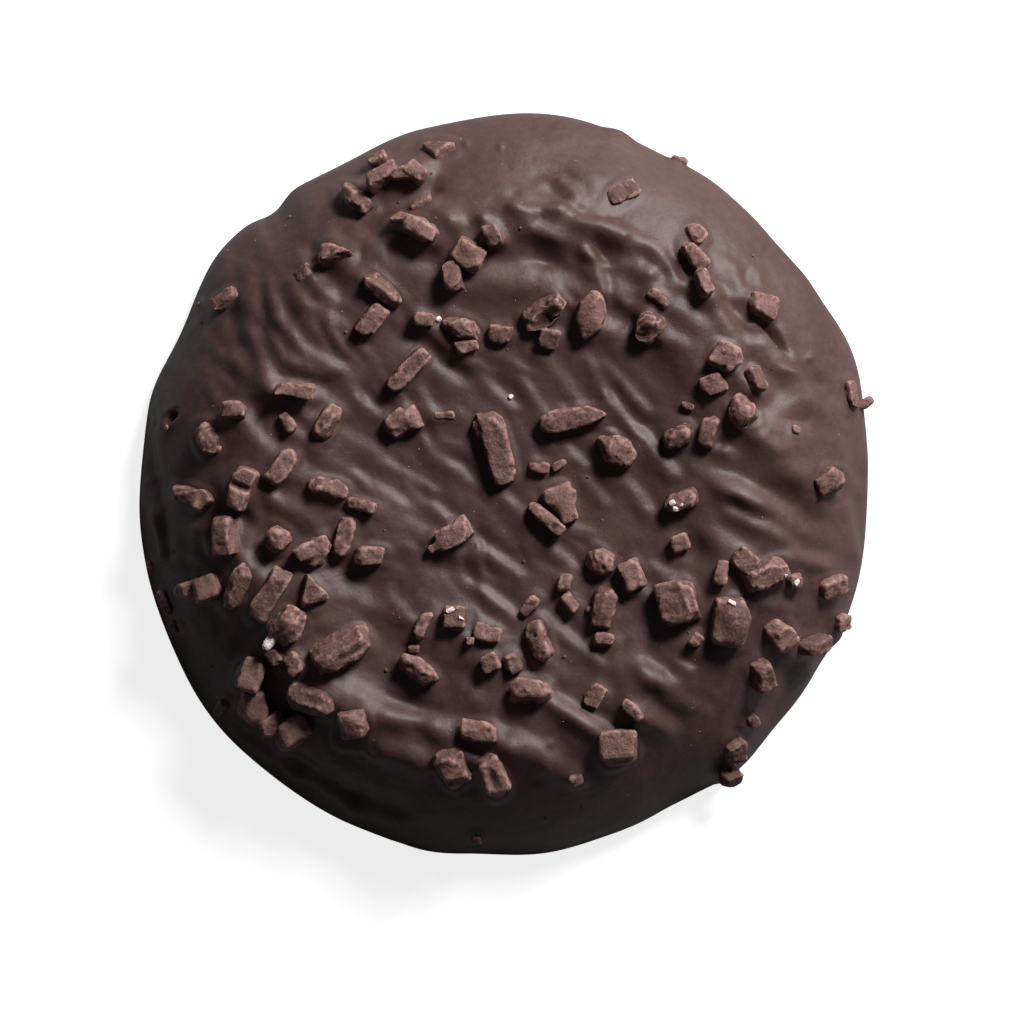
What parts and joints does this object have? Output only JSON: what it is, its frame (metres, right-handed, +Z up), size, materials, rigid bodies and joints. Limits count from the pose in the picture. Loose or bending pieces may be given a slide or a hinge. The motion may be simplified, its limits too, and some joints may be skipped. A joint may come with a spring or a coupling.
{
  "type": "chocolate-coated lebkuchen",
  "caption": "Round gingerbread biscuit coated in rippled dark chocolate, domed with a sloping edge and a flat base, strewn with chopped dark chocolate.",
  "frame": {"origin": "middle of the flat base, where the biscuit rests", "axes": "+Z up out of the coated top; +Y towards the far edge with the lumpy ridge of coating, +X to its right, seen from above"},
  "size_m": [0.0914, 0.0931, 0.019],
  "materials": {
    "coating": "satin dark chocolate coating",
    "chopped_chocolate": "broken dark chocolate, matt and finely grained"
  },
  "bodies": {
    "root": {"coated_biscuit": "coating", "lump_chip_08": "chopped_chocolate", "lump_chip_10": "chopped_chocolate", "lump_chip_11": "chopped_chocolate", "lump_chip_12": "chopped_chocolate", "lump_chip_13": "chopped_chocolate", "lump_chip_14": "chopped_chocolate", "lump_chip_15": "chopped_chocolate", "lump_chip_20": "chopped_chocolate", "lump_chip_21": "chopped_chocolate", "lump_chip_28": "chopped_chocolate", "lump_chip_34": "chopped_chocolate", "lump_chip_35": "chopped_chocolate", "lump_chip_38": "chopped_chocolate", "lump_chip_40": "chopped_chocolate", "lump_chip_43": "chopped_chocolate", "lump_chip_44": "chopped_chocolate", "lump_chip_53": "chopped_chocolate", "lump_chip_55": "chopped_chocolate", "lump_chip_56": "chopped_chocolate", "roof_chip_02": "chopped_chocolate", "roof_chip_03": "chopped_chocolate", "roof_chip_06": "chopped_chocolate", "roof_chip_09": "chopped_chocolate", "roof_chip_22": "chopped_chocolate", "roof_chip_26": "chopped_chocolate", "roof_chip_37": "chopped_chocolate", "roof_chip_47": "chopped_chocolate", "roof_chip_48": "chopped_chocolate", "roof_chip_50": "chopped_chocolate", "roof_chip_54": "chopped_chocolate", "roof_chip_57": "chopped_chocolate", "slab_chip_04": "chopped_chocolate", "slab_chip_07": "chopped_chocolate", "slab_chip_16": "chopped_chocolate", "slab_chip_18": "chopped_chocolate", "slab_chip_19": "chopped_chocolate", "slab_chip_23": "chopped_chocolate", "slab_chip_24": "chopped_chocolate", "slab_chip_27": "chopped_chocolate", "slab_chip_29": "chopped_chocolate", "slab_chip_30": "chopped_chocolate", "slab_chip_31": "chopped_chocolate", "slab_chip_36": "chopped_chocolate", "slab_chip_39": "chopped_chocolate", "slab_chip_41": "chopped_chocolate", "slab_chip_42": "chopped_chocolate", "slab_chip_45": "chopped_chocolate", "slab_chip_46": "chopped_chocolate", "slab_chip_51": "chopped_chocolate", "slab_chip_58": "chopped_chocolate", "slab_chip_59": "chopped_chocolate", "wedge_chip_01": "chopped_chocolate", "wedge_chip_05": "chopped_chocolate", "wedge_chip_17": "chopped_chocolate", "wedge_chip_25": "chopped_chocolate", "wedge_chip_32": "chopped_chocolate", "wedge_chip_33": "chopped_chocolate", "wedge_chip_49": "chopped_chocolate", "wedge_chip_52": "chopped_chocolate"}
  },
  "joints": []
}
